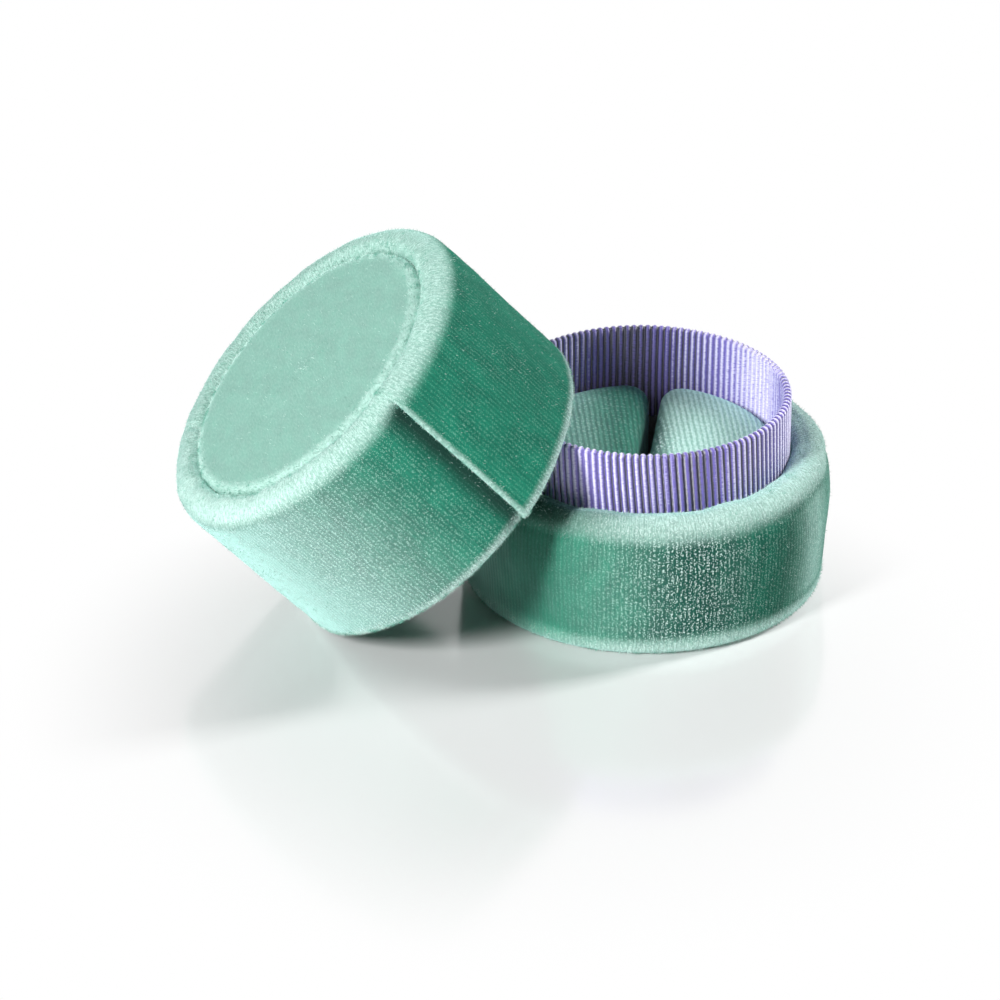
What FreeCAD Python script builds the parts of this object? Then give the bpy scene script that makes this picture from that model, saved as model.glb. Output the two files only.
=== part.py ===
# A round velvet ring box in two loose halves.
# The base stands on the table with a ribbon-covered collar and two ring pads. The lid is off and leans on the collar.
# Millimetres and degrees. +Z is up, the origin is the middle of the base's foot, and the lid leans along X.
import FreeCAD, Part
import math
import os
import Sketcher

# Driving dimensions: name, value, meaning.
DIMENSIONS = (
    ("collar_radius", 20.0, "outside of the ribbon that covers the collar"),
    ("collar_rise", 7.7, "height of the collar above the base's rim"),
    ("collar_card", 0.5, "wall of the card tube under the ribbon"),
    ("ribbon_thick", 0.25, "ribbon, crest of a rib to its back"),
    ("ribbon_reach", 14.0, "how far the folded ribbon reaches down each side of the collar"),
    ("rib_count", 128, "ribs round the ribbon"),
    ("rib_depth", 0.15, "crest to valley of a rib"),
    ("base_height", 20.3, "table to the crest of the base's rim"),
    ("lid_height", 27.0, "mouth to top of the lid"),
    ("board_thick", 2.0, "greyboard walls, floor and top"),
    ("wadding_thick", 1.2, "soft sleeve round the base's board"),
    ("velvet_thick", 1.2, "velvet with its pile"),
    ("tuck_thick", 0.6, "crushed velvet between the base's board and the collar"),
    ("tuck_depth", 5.5, "how far the velvet goes down beside the collar"),
    ("turn_under", 5.5, "width of the velvet folded under the base"),
    ("foot_gap", 0.3, "groove round the foot panel"),
    ("base_rim_round", 2.3, "puffy outer edge of the base's rim"),
    ("tuck_round", 2.3, "velvet rolling down into the collar"),
    ("base_foot_round", 1.6, "lower edge of the base"),
    ("socket_clearance", 0.35, "radial play of the lid's lining on the collar"),
    ("lining_thick", 0.5, "sleeve inside the lid"),
    ("ceiling_thick", 0.8, "lined disc inside the lid's top"),
    ("lid_rim_round", 3.0, "outer edge of the lid's top"),
    ("mouth_round", 0.9, "edges of the lid's mouth"),
    ("rim_width", 4.6, "velvet folded over the lid's top, seen from above"),
    ("rim_lip", 0.8, "velvet going down into the groove round the panel"),
    ("groove_round", 1.0, "velvet rolling into the groove round the panel"),
    ("panel_gap", 0.3, "groove round the inset panel"),
    ("panel_card", 0.6, "card of the inset panel"),
    ("panel_foam", 0.5, "foam of the inset panel"),
    ("panel_velvet", 0.8, "velvet stretched over the inset panel"),
    ("panel_round", 0.9, "edge of the inset panel"),
    ("lap_step", 0.6, "height of the velvet's lapped edge at a seam"),
    ("lap_radius", 20.0, "curve of the lapped velvet as it fades into the wall"),
    ("lid_lap_angle", -67.5, "place of the lid's seam, from the high side of the leaning mouth"),
    ("base_lap_angle", 60.0, "place of the base's seam, at the back"),
    ("pad_fit", 0.15, "play of the pads inside the collar"),
    ("pad_drop", 7.4, "depth of the pads' tops below the collar's top"),
    ("pad_skin", 1.0, "velvet over the pads"),
    ("pad_corner", 2.5, "corners of the pads, seen from above"),
    ("pad_crown_width", 3.0, "how far the pads' rounded tops reach in from the edge"),
    ("pad_crown_height", 1.8, "rise of the pads' rounded tops"),
    ("slot_width", 1.2, "slot for the ring between the pads"),
    ("slot_angle", 20.0, "turn of the slot from straight ahead, towards the right"),
    ("lid_tilt", 42.4, "tilt of the leaning lid"),
    ("lean_gap", 0.3, "least gap between the leaning lid and the collar"),
)

# The pads' rounded tops meet no further in than this share of the room behind their corners.
CROWN_LIMIT = 0.8

# Fits: sizes that follow from the driving dimensions, worked from the collar outwards and from the table up.
FITS = (
    ("base_tube_in", "dims.collar_radius + dims.tuck_thick"),
    ("base_tube_out", "base_tube_in + dims.board_thick"),
    ("velvet_in", "base_tube_out + dims.wadding_thick"),
    ("outer_radius", "velvet_in + dims.velvet_thick"),
    ("turn_in", "outer_radius - dims.turn_under"),
    ("foot_radius", "turn_in - dims.foot_gap"),
    ("foot_top", "dims.velvet_thick * 1"),
    ("floor_top", "foot_top + dims.board_thick"),
    ("base_wadding_top", "dims.base_height - dims.velvet_thick"),
    ("base_tube_top", "base_wadding_top - dims.wadding_thick"),
    ("base_wadding_round", "dims.base_rim_round - dims.velvet_thick"),
    ("tuck_low", "dims.base_height - dims.tuck_depth"),
    ("collar_top", "dims.base_height + dims.collar_rise"),
    ("card_top", "collar_top - dims.ribbon_thick"),
    ("card_out", "dims.collar_radius - dims.ribbon_thick"),
    ("card_in", "card_out - dims.collar_card"),
    ("ribbon_in", "card_in - dims.ribbon_thick"),
    ("ribbon_low", "collar_top - dims.ribbon_reach"),
    ("pad_radius", "ribbon_in - dims.pad_fit"),
    ("pad_low", "floor_top + dims.board_thick"),
    ("pad_top", "collar_top - dims.pad_drop"),
    ("slot_half", "dims.slot_width / 2"),
    ("pad_room", "(pad_radius - slot_half) / 2 - dims.pad_corner"),
    ("pad_swell", f"min(dims.pad_crown_width; {CROWN_LIMIT} * pad_room)"),
    ("socket_radius", "dims.collar_radius + dims.socket_clearance"),
    ("lid_tube_in", "socket_radius + dims.lining_thick"),
    ("lid_tube_out", "lid_tube_in + dims.board_thick"),
    ("lid_wadding_thick", "velvet_in - lid_tube_out"),
    ("mouth_top", "dims.velvet_thick * 1"),
    ("lid_wadding_top", "dims.lid_height - dims.velvet_thick"),
    ("lid_tube_top", "lid_wadding_top - lid_wadding_thick"),
    ("lid_wadding_round", "dims.lid_rim_round - dims.velvet_thick"),
    ("lid_board_low", "lid_tube_top - dims.board_thick"),
    ("ceiling_low", "lid_board_low - dims.ceiling_thick"),
    ("rim_in", "outer_radius - dims.rim_width"),
    ("lip_out", "rim_in + dims.rim_lip"),
    ("panel_out", "rim_in - dims.panel_gap"),
    ("panel_core", "panel_out - dims.panel_velvet"),
    ("panel_card_top", "lid_tube_top + dims.panel_card"),
    ("panel_foam_top", "panel_card_top + dims.panel_foam"),
    ("panel_top", "panel_foam_top + dims.panel_velvet"),
    ("lap_root", "outer_radius - dims.velvet_thick / 2"),
    ("lap_reach", "outer_radius + dims.lap_step"),
    ("lap_offset", "lap_reach - dims.lap_radius"),
)

ON_AXIS = None
ON_GROUND = None
AT_MOUTH = None
UP = FreeCAD.Vector(0, 0, 1)
SAME_PLACE = 1e-6
QUARTER_TURN = 90
CROWN_STEPS = 4
LEAN_SAMPLES = 720
LEAN_HALVINGS = 50

doc = FreeCAD.newDocument("velvet_ring_box")

dims = doc.addObject("Spreadsheet::Sheet", "dims")
for row, (alias, value, meaning) in enumerate(DIMENSIONS, 1):
    dims.set(f"A{row}", meaning)
    dims.set(f"B{row}", str(value))
    dims.setAlias(f"B{row}", alias)
doc.recompute()

fits = doc.addObject("App::VarSet", "fits")
for fit, formula in FITS:
    fits.addProperty("App::PropertyFloat", fit, "Fits")
    fits.setExpression(fit, formula)
doc.recompute()

FIT_NAMES = [fit for fit, formula in FITS]


def size(name):
    """The value of a dimension or fit; no name stands for zero."""
    if name is None:
        return 0.0
    return float(getattr(fits if name in FIT_NAMES else dims, name))


def ref(name):
    """How an expression names a dimension or fit."""
    return ("fits." if name in FIT_NAMES else "dims.") + name


def origin_plane(body, role):
    return next(plane for plane in body.Origin.OriginFeatures if plane.Role == role)


def tie(sketch, kind, geometry, point, name):
    """Places a point of a sketch from the origin, along X or Y, at a named size."""
    number = sketch.addConstraint(Sketcher.Constraint(kind, -1, 1, geometry, point, size(name)))
    if name is not None:
        sketch.setExpression(f"Constraints[{number}]", ref(name))


def rims_at(shape, radius, height):
    """The circular edges of a turned piece that have this radius and height."""
    found = []
    for number, edge in enumerate(shape.Edges, 1):
        if not isinstance(edge.Curve, Part.Circle):
            continue
        off_radius = abs(edge.Curve.Radius - size(radius))
        off_height = abs(edge.Curve.Center.z - size(height))
        if max(off_radius, off_height) < SAME_PLACE:
            found.append(f"Edge{number}")
    return found


def turned(label, outline, rounds=()):
    """A turned piece: an outline of (radius, height) corners spun about Z, with some of its rims rounded."""
    body = doc.addObject("PartDesign::Body", label)
    sketch = body.newObject("Sketcher::SketchObject", label + "_outline")
    sketch.AttachmentSupport = (origin_plane(body, "XZ_Plane"), [""])
    sketch.MapMode = "FlatFace"
    corners = [FreeCAD.Vector(size(radius), size(height), 0) for radius, height in outline]
    for start, end in zip(corners, corners[1:] + corners[:1]):
        sketch.addGeometry(Part.LineSegment(start, end))
    for index, (radius, height) in enumerate(outline):
        before = (index - 1) % len(outline)
        sketch.addConstraint(Sketcher.Constraint("Coincident", before, 2, index, 1))
        tie(sketch, "DistanceX", index, 1, radius)
        tie(sketch, "DistanceY", index, 1, height)
    spin = body.newObject("PartDesign::Revolution", label + "_spin")
    spin.Profile = sketch
    spin.ReferenceAxis = (sketch, ["V_Axis"])
    spin.Angle = 360
    doc.recompute()
    for radius, height, rounding in rounds:
        base = body.Tip
        fillet = body.newObject("PartDesign::Fillet", f"{label}_{rounding}")
        fillet.Base = (base, rims_at(base.Shape, radius, height))
        fillet.setExpression("Radius", ref(rounding))
        doc.recompute()
    return body


def disc(label, radius, low, high):
    return turned(label, [(ON_AXIS, low), (radius, low), (radius, high), (ON_AXIS, high)])


def sleeve(label, inside, outside, low, high):
    return turned(label, [(inside, low), (outside, low), (outside, high), (inside, high)])


def cylinder(name, radius, low, tall):
    """An upright cylinder whose foot is at a named height; tall is an expression."""
    solid = doc.addObject("Part::Cylinder", name)
    solid.setExpression("Radius", ref(radius))
    solid.setExpression("Height", tall)
    solid.setExpression("Placement.Base.z", ref(low))
    return solid


def boolean(kind, name, base, tool):
    result = doc.addObject(f"Part::{kind}", name)
    result.Base = base
    result.Tool = tool
    return result


def lapped(label, wrap, low, tall, angle):
    """Adds the seam to a velvet wrap: its end laps over its start, stands proud there and fades into the wall."""
    roll = cylinder(label + "_lap_roll", "lap_radius", low, tall)
    roll.setExpression("Placement.Base.x", ref("lap_offset"))
    core = cylinder(label + "_lap_core", "lap_root", low, tall)
    half = doc.addObject("Part::Box", label + "_lap_half")
    half.setExpression("Length", ref("lap_reach"))
    half.setExpression("Width", ref("lap_reach"))
    half.setExpression("Height", tall)
    half.setExpression("Placement.Base.z", ref(low))
    skin = boolean("Cut", label + "_lap_skin", roll, core)
    lap = boolean("Common", label + "_lap", skin, half)
    lap.Placement.Rotation = FreeCAD.Rotation(UP, size(angle))
    return boolean("Fuse", label, wrap, lap)


def pad_section(body, name, level, inset, skin):
    """A D with rounded corners: a chord beside the slot and an arc beside the collar, at one height of a pad."""
    sketch = body.newObject("Sketcher::SketchObject", name)
    sketch.AttachmentSupport = (origin_plane(body, "XY_Plane"), [""])
    sketch.MapMode = "FlatFace"
    sketch.setExpression("AttachmentOffset.Base.z", level)
    radius = f"fits.pad_radius - {skin} - {inset}"
    chord = f"fits.slot_half + {skin} + {inset}"
    corner = f"dims.pad_corner - {skin}"
    names = {"arc_radius": radius, "chord_place": chord, "corner_radius": corner}
    for prop, formula in names.items():
        sketch.addProperty("App::PropertyFloat", prop, "Section")
        sketch.setExpression(prop, formula)
    sketch.recompute()
    middle_x = sketch.chord_place + sketch.corner_radius
    middle_y = math.sqrt((sketch.arc_radius - sketch.corner_radius) ** 2 - middle_x ** 2)
    turn = math.atan2(middle_y, middle_x)
    middle_low = FreeCAD.Vector(middle_x, -middle_y, 0)
    middle_high = FreeCAD.Vector(middle_x, middle_y, 0)
    low = FreeCAD.Vector(sketch.chord_place, -middle_y, 0)
    high = FreeCAD.Vector(sketch.chord_place, middle_y, 0)
    round_low = Part.Circle(middle_low, UP, sketch.corner_radius)
    round_high = Part.Circle(middle_high, UP, sketch.corner_radius)
    wall = Part.Circle(FreeCAD.Vector(), UP, sketch.arc_radius)
    sketch.addGeometry(Part.LineSegment(high, low))
    sketch.addGeometry(Part.ArcOfCircle(round_low, math.pi, 2 * math.pi - turn))
    sketch.addGeometry(Part.ArcOfCircle(wall, -turn, turn))
    sketch.addGeometry(Part.ArcOfCircle(round_high, turn, math.pi))
    for index in range(4):
        sketch.addConstraint(Sketcher.Constraint("Tangent", index, 2, (index + 1) % 4, 1))
    sketch.addConstraint(Sketcher.Constraint("Vertical", 0))
    sketch.addConstraint(Sketcher.Constraint("Coincident", 2, 3, -1, 1))
    sketch.addConstraint(Sketcher.Constraint("Equal", 1, 3))
    bound = (
        (Sketcher.Constraint("Radius", 2, sketch.arc_radius), radius),
        (Sketcher.Constraint("Radius", 1, sketch.corner_radius), corner),
        (Sketcher.Constraint("DistanceX", -1, 1, 0, 1, sketch.chord_place), chord),
    )
    for constraint, formula in bound:
        number = sketch.addConstraint(constraint)
        sketch.setExpression(f"Constraints[{number}]", formula)
    return sketch


def pad_form(label, skin):
    """One ring pad, or its foam where a skin is left off: straight sides and a rounded, crowned top."""
    body = doc.addObject("PartDesign::Body", label)
    shoulder = f"fits.pad_top - dims.pad_crown_height - {skin}"
    foot = pad_section(body, label + "_foot", "fits.pad_low", "0", skin)
    wall = body.newObject("PartDesign::Pad", label + "_wall")
    wall.Profile = foot
    wall.setExpression("Length", f"{shoulder} - fits.pad_low")
    doc.recompute()
    sections = []
    for step in range(CROWN_STEPS + 1):
        slope = f"{QUARTER_TURN * step / CROWN_STEPS} deg"
        inset = f"fits.pad_swell * (1 - cos({slope}))"
        level = f"{shoulder} + dims.pad_crown_height * sin({slope})"
        sections.append(pad_section(body, f"{label}_crown_{step}", level, inset, skin))
    crown = body.newObject("PartDesign::AdditiveLoft", label + "_crown")
    crown.Profile = sections[0]
    crown.Sections = sections[1:]
    doc.recompute()
    return body


def rib_ring(crest, valley):
    """A closed ring of ribs: each rib rises from its valley to its crest and falls to the next valley."""
    count = int(size("rib_count"))
    corners = []
    for flank in range(2 * count):
        angle = math.pi * flank / count
        reach = valley if flank % 2 else crest
        corners.append(FreeCAD.Vector(reach * math.cos(angle), reach * math.sin(angle), 0))
    return Part.makePolygon(corners + corners[:1])


def ribbon_blank():
    """The folded ribbon before the card is taken out of it: an upright ring, ribbed outside and inside."""
    outer = rib_ring(size("collar_radius"), size("collar_radius") - size("rib_depth"))
    inner = rib_ring(size("ribbon_in"), size("ribbon_in") + size("rib_depth"))
    ring = Part.makeFace([outer, inner], "Part::FaceMakerBullseye")
    blank = doc.addObject("Part::Feature", "collar_ribbon_blank")
    blank.Shape = ring.extrude(UP * size("ribbon_reach"))
    blank.Placement.Base.z = size("ribbon_low")
    return blank


def lean_gap_at(reach):
    """The least gap between the collar's top edge and the lid's wall with the mouth this far from the axis."""
    tilt = math.radians(size("lid_tilt"))
    inside = size("socket_radius")
    outside = size("outer_radius")
    rounding = size("mouth_round")
    gaps = []
    for sample in range(LEAN_SAMPLES):
        angle = 2 * math.pi * sample / LEAN_SAMPLES
        along = size("collar_radius") * math.cos(angle) + reach
        across = size("collar_radius") * math.sin(angle)
        above = size("collar_top") - mouth_height()
        outwards = math.hypot(along * math.cos(tilt) + above * math.sin(tilt), across)
        inwards = above * math.cos(tilt) - along * math.sin(tilt)
        past_wall = abs(outwards - (inside + outside) / 2) - (outside - inside) / 2 + rounding
        past_mouth = rounding - inwards
        corner = math.hypot(max(past_wall, 0), max(past_mouth, 0))
        gaps.append(corner + min(max(past_wall, past_mouth), 0) - rounding)
    return min(gaps)


def mouth_height():
    """The height of the leaning mouth's centre, with the rounded lower edge just on the table."""
    tilt = math.radians(size("lid_tilt"))
    rounding = size("mouth_round")
    return rounding + (size("outer_radius") - rounding) * math.sin(tilt) - rounding * math.cos(tilt)


def lean():
    """Where the lid stands: tilted, with its lower edge on the table and its mouth against the collar."""
    near = size("outer_radius") / 2
    far = size("outer_radius") * 2
    for halving in range(LEAN_HALVINGS):
        reach = (near + far) / 2
        if lean_gap_at(reach) < size("lean_gap"):
            near = reach
        else:
            far = reach
    tilted = FreeCAD.Rotation(FreeCAD.Vector(0, 1, 0), -size("lid_tilt"))
    return FreeCAD.Placement(FreeCAD.Vector(-reach, 0, mouth_height()), tilted)


# The base's board: a tube round a floor disc, standing on the velvet folded under it.
base_tube = sleeve("base_tube", "base_tube_in", "base_tube_out", "foot_top", "base_tube_top")
base_floor = disc("base_floor", "base_tube_in", "foot_top", "floor_top")
base_foot_panel = disc("base_foot_panel", "foot_radius", ON_GROUND, "foot_top")

# Wadding round the base's wall and over its top edge.
base_wadding = turned(
    "base_wadding",
    [
        ("base_tube_out", "foot_top"),
        ("velvet_in", "foot_top"),
        ("velvet_in", "base_wadding_top"),
        ("base_tube_in", "base_wadding_top"),
        ("base_tube_in", "base_tube_top"),
        ("base_tube_out", "base_tube_top"),
    ],
    [("velvet_in", "base_wadding_top", "base_wadding_round")],
)

# The base's velvet: under the foot, up the wall, over the rim and down beside the collar.
base_wrap = turned(
    "base_wrap",
    [
        ("turn_in", ON_GROUND),
        ("outer_radius", ON_GROUND),
        ("outer_radius", "base_height"),
        ("collar_radius", "base_height"),
        ("collar_radius", "tuck_low"),
        ("base_tube_in", "tuck_low"),
        ("base_tube_in", "base_wadding_top"),
        ("velvet_in", "base_wadding_top"),
        ("velvet_in", "foot_top"),
        ("turn_in", "foot_top"),
    ],
    [
        ("outer_radius", "base_height", "base_rim_round"),
        ("collar_radius", "base_height", "tuck_round"),
        ("outer_radius", ON_GROUND, "base_foot_round"),
        ("velvet_in", "base_wadding_top", "base_wadding_round"),
    ],
)
base_velvet_wrap = lapped(
    "base_velvet_wrap",
    base_wrap,
    "base_foot_round",
    "dims.base_height - dims.base_rim_round - dims.base_foot_round",
    "base_lap_angle",
)

# The collar: a card tube on the floor, with ribbed ribbon folded over its top edge.
collar_tube = sleeve("collar_tube", "card_in", "card_out", "floor_top", "card_top")
collar_ribbon = boolean("Cut", "collar_ribbon", ribbon_blank(), collar_tube)

# The ring pads: foam under velvet, on a riser board, on either side of the slot.
pad_riser = disc("pad_riser", "pad_radius", "floor_top", "pad_low")
pads = []
for side, half_turn in (("right", 0), ("left", 180)):
    foam = pad_form(f"pad_foam_{side}", "dims.pad_skin")
    whole = pad_form(f"pad_form_{side}", "0")
    beside_slot = FreeCAD.Placement(FreeCAD.Vector(), FreeCAD.Rotation(UP, half_turn - size("slot_angle")))
    foam.Placement = beside_slot
    whole.Placement = beside_slot
    cover = boolean("Cut", f"pad_cover_{side}", whole, foam)
    pads.extend([foam, cover])

# The lid's board: a tube with a top let into it.
lid_tube = sleeve("lid_tube", "lid_tube_in", "lid_tube_out", "mouth_top", "lid_tube_top")
lid_top_board = disc("lid_top_board", "lid_tube_in", "lid_board_low", "lid_tube_top")

# Wadding round the lid's wall and over its top edge.
lid_wadding = turned(
    "lid_wadding",
    [
        ("lid_tube_out", "mouth_top"),
        ("velvet_in", "mouth_top"),
        ("velvet_in", "lid_wadding_top"),
        ("lip_out", "lid_wadding_top"),
        ("lip_out", "lid_tube_top"),
        ("lid_tube_out", "lid_tube_top"),
    ],
    [("velvet_in", "lid_wadding_top", "lid_wadding_round")],
)

# The lid's velvet: in at the mouth, up the wall, over the top edge and down into the groove round the panel.
lid_wrap = turned(
    "lid_wrap",
    [
        ("socket_radius", AT_MOUTH),
        ("outer_radius", AT_MOUTH),
        ("outer_radius", "lid_height"),
        ("rim_in", "lid_height"),
        ("rim_in", "lid_tube_top"),
        ("lip_out", "lid_tube_top"),
        ("lip_out", "lid_wadding_top"),
        ("velvet_in", "lid_wadding_top"),
        ("velvet_in", "mouth_top"),
        ("socket_radius", "mouth_top"),
    ],
    [
        ("outer_radius", "lid_height", "lid_rim_round"),
        ("rim_in", "lid_height", "groove_round"),
        ("outer_radius", AT_MOUTH, "mouth_round"),
        ("socket_radius", AT_MOUTH, "mouth_round"),
        ("velvet_in", "lid_wadding_top", "lid_wadding_round"),
    ],
)
lid_velvet_wrap = lapped(
    "lid_velvet_wrap",
    lid_wrap,
    "mouth_round",
    "dims.lid_height - dims.lid_rim_round - dims.mouth_round",
    "lid_lap_angle",
)

# The inset panel on the lid's top: card and foam with velvet stretched over them.
lid_panel_card = disc("lid_panel_card", "panel_core", "lid_tube_top", "panel_card_top")
lid_panel_foam = disc("lid_panel_foam", "panel_core", "panel_card_top", "panel_foam_top")
lid_panel_velvet = turned(
    "lid_panel_velvet",
    [
        ("panel_core", "lid_tube_top"),
        ("panel_out", "lid_tube_top"),
        ("panel_out", "panel_top"),
        (ON_AXIS, "panel_top"),
        (ON_AXIS, "panel_foam_top"),
        ("panel_core", "panel_foam_top"),
    ],
    [("panel_out", "panel_top", "panel_round")],
)

# Inside the lid: a sleeve that slides on the collar, and a lined disc under the top.
lid_lining = sleeve("lid_lining", "socket_radius", "lid_tube_in", "mouth_top", "ceiling_low")
lid_ceiling_pad = disc("lid_ceiling_pad", "lid_tube_in", "ceiling_low", "lid_board_low")

base_pieces = [
    base_tube,
    base_floor,
    base_foot_panel,
    base_wadding,
    base_velvet_wrap,
    collar_tube,
    collar_ribbon,
    pad_riser,
    *pads,
]
lid_pieces = [
    lid_tube,
    lid_top_board,
    lid_wadding,
    lid_velvet_wrap,
    lid_panel_card,
    lid_panel_foam,
    lid_panel_velvet,
    lid_lining,
    lid_ceiling_pad,
]
leaning = lean()
for piece in lid_pieces:
    piece.Placement = leaning
doc.recompute()

for thing in doc.Objects:
    if "Invalid" in thing.State or "Error" in thing.State:
        raise RuntimeError(f"{thing.Label} failed: {thing.State}")
for piece in base_pieces + lid_pieces:
    if piece.Shape.isNull() or not piece.Shape.isValid():
        raise RuntimeError(f"{piece.Label} has no valid shape")

os.makedirs("parts", exist_ok=True)
for piece in base_pieces + lid_pieces:
    piece.Shape.exportStep(f"parts/{piece.Label}.step")
    print(f"{piece.Label}: {piece.Shape.Volume:.1f} mm3, {len(piece.Shape.Solids)} solid")
print(f"lid mouth at {leaning.Base.x:.3f}, {leaning.Base.z:.3f}")
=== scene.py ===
"""The looks of a round velvet ring box with its lid leaning on the base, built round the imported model.
Lengths are in metres."""

import math

import bpy
import numpy as np
from mathutils import Matrix, Vector

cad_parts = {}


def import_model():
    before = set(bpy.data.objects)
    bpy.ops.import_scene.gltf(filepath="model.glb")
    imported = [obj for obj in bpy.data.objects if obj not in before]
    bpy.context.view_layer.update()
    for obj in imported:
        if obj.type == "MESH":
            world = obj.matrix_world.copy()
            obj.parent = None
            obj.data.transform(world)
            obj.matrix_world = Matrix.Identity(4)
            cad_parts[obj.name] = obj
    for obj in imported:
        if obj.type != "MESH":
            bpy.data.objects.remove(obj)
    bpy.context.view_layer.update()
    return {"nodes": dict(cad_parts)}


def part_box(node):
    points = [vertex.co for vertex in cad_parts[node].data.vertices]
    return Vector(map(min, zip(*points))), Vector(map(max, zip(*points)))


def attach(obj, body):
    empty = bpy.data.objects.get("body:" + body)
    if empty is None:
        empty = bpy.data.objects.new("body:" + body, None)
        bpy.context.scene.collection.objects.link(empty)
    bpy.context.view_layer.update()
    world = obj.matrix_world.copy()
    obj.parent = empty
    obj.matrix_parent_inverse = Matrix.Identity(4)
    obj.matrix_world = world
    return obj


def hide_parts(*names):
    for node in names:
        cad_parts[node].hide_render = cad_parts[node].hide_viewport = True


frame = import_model()

MM = 0.001

# The camera, as the photograph's outlines place it.
CAMERA_PLACE = (-0.14695, -0.54598, 0.31581)
CAMERA_AIM = (-0.02376, -0.01452, 0.02119)
CAMERA_LENS = 166.7
CAMERA_SENSOR = 36

# Velvet.
PILE_ROW = 0.60 * MM
PAD_ROW = 0.75 * MM
TUFT_WIDE = 0.17 * MM
TUFT_LONG = 0.21 * MM
NAP_LEAN = -0.60
CLOTH_SPACING = 0.5 * MM
CLOTH_LAYER = 0.5 * MM
WRAP_TURNS = 640
WRAP_THICK = 1.15 * MM
SWELL_SIZE = 14 * MM
SWELL_DEPTH = 0.06 * MM
LUMP_SIZE = 3.5 * MM
LUMP_DEPTH = 0.015 * MM

# Discs, whose rings end at a small core, and the lining.
DISC_CORE = 0.25 * MM
DISC_TURNS = 200
PANEL_TURNS = 240
LINING_TURNS = 320

# Ribbon. Its ribs lean by so many radians round the collar to the metre of height.
RIB_COUNT = 128
RIB_STEPS = 10
RIB_DEPTH = 0.32 * MM
RIB_LEAN = 4.0
RIBBON_SPACING = 0.3 * MM

# Pads, simulated at a larger scale because cloth settings suit furniture sizes.
SIM_SCALE = 25
SIM_FRAMES = 20
PAD_VOXEL = 0.9 * MM
PAD_LEAST = 0.85 * MM
PAD_REACH = 1.1 * MM
PAD_CLEAR = 0.2 * MM
PAD_PRESSURE = 4

# Colours, as linear light.
# Painted shade.
GREEN_PAINTED_SHADE = (0.000, 0.020, 0.014, 1)
# A darker random tone, and also painted shade between standing tufts.
GREEN_DEEP = (0.003, 0.060, 0.042, 1)
GREEN_LIT = (0.018, 0.370, 0.220, 1)
# Painted sheen.
GREEN_PAINTED_SHEEN = (0.575, 0.815, 0.745, 1)
# Painted glints on the tufts' ends.
GREEN_PAINTED_GLINT = (0.800, 0.920, 0.910, 1)
# Painted shade in the ribbon's gaps.
LILAC_PAINTED_SHADE = (0.006, 0.005, 0.035, 1)
LILAC_BODY = (0.160, 0.120, 0.520, 1)
# Painted highlight on the ribbon's crests.
LILAC_PAINTED_HIGHLIGHT = (0.760, 0.720, 0.980, 1)
LINING_DARK = (0.20, 0.46, 0.37, 1)
LINING_LIGHT = (0.42, 0.70, 0.60, 1)
FIBRE_DARK = (0.16, 0.46, 0.36, 1)
FIBRE_LIGHT = (0.72, 0.92, 0.86, 1)


def vectors_of(mesh, kind="co"):
    """A vector for each of a mesh's points: its place, or its normal."""
    values = np.empty(len(mesh.vertices) * 3)
    mesh.vertices.foreach_get(kind, values)
    return values.reshape(-1, 3)


class Half:
    """One round half of the box: a place on its axis, the axis, and two directions across it."""

    def __init__(self, origin, axis):
        self.axis = np.array(axis) / np.linalg.norm(axis)
        self.origin = np.array(origin)
        self.across = np.array((self.axis[2], 0.0, -self.axis[0]))
        self.side = np.cross(self.axis, self.across)

    def place(self, radius, angle, height):
        """Points from their distance to the axis, their angle round it and their height along it."""
        outwards = np.cos(angle)[..., None] * self.across + np.sin(angle)[..., None] * self.side
        return self.origin + radius[..., None] * outwards + height[..., None] * self.axis

    def measure(self, node):
        """A node's least and greatest radius, and its lowest and highest point, about this axis."""
        offset = vectors_of(frame["nodes"][node].data) - self.origin
        height = offset @ self.axis
        radius = np.linalg.norm(offset - height[:, None] * self.axis, axis=1)
        return radius.min(), radius.max(), height.min(), height.max()


def middle(node):
    """The centre of a node's box."""
    low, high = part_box(node)
    return (np.array(low) + np.array(high)) / 2


def lid_half():
    """The lid's half, with its origin in the middle of its mouth."""
    axis = middle("lid_panel_card") - middle("lid_lining")
    half = Half(middle("lid_lining"), axis)
    mouth = half.measure("lid_velvet_wrap")[2]
    return Half(half.origin + mouth * half.axis, axis)


BASE = Half((0, 0, 0), (0, 0, 1))
LID = lid_half()
OUTER = (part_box("base_velvet_wrap")[1][1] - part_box("base_velvet_wrap")[0][1]) / 2


class Section:
    """A section to turn about an axis: its points, the way out at each, and the length along it."""

    def __init__(self, corners, spacing, closed=True):
        self.closed = closed
        self.points = rounded(corners, spacing, closed)
        ahead = np.roll(self.points, -1, axis=0)
        behind = np.roll(self.points, 1, axis=0)
        if not closed:
            ahead[-1] = self.points[-1]
            behind[0] = self.points[0]
        along = ahead - behind
        out = np.stack((along[:, 1], -along[:, 0]), axis=1)
        self.out = out / np.linalg.norm(out, axis=1, keepdims=True)
        steps = np.linalg.norm(np.diff(self.points, axis=0), axis=1)
        self.length = np.concatenate(([0], np.cumsum(steps)))


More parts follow.
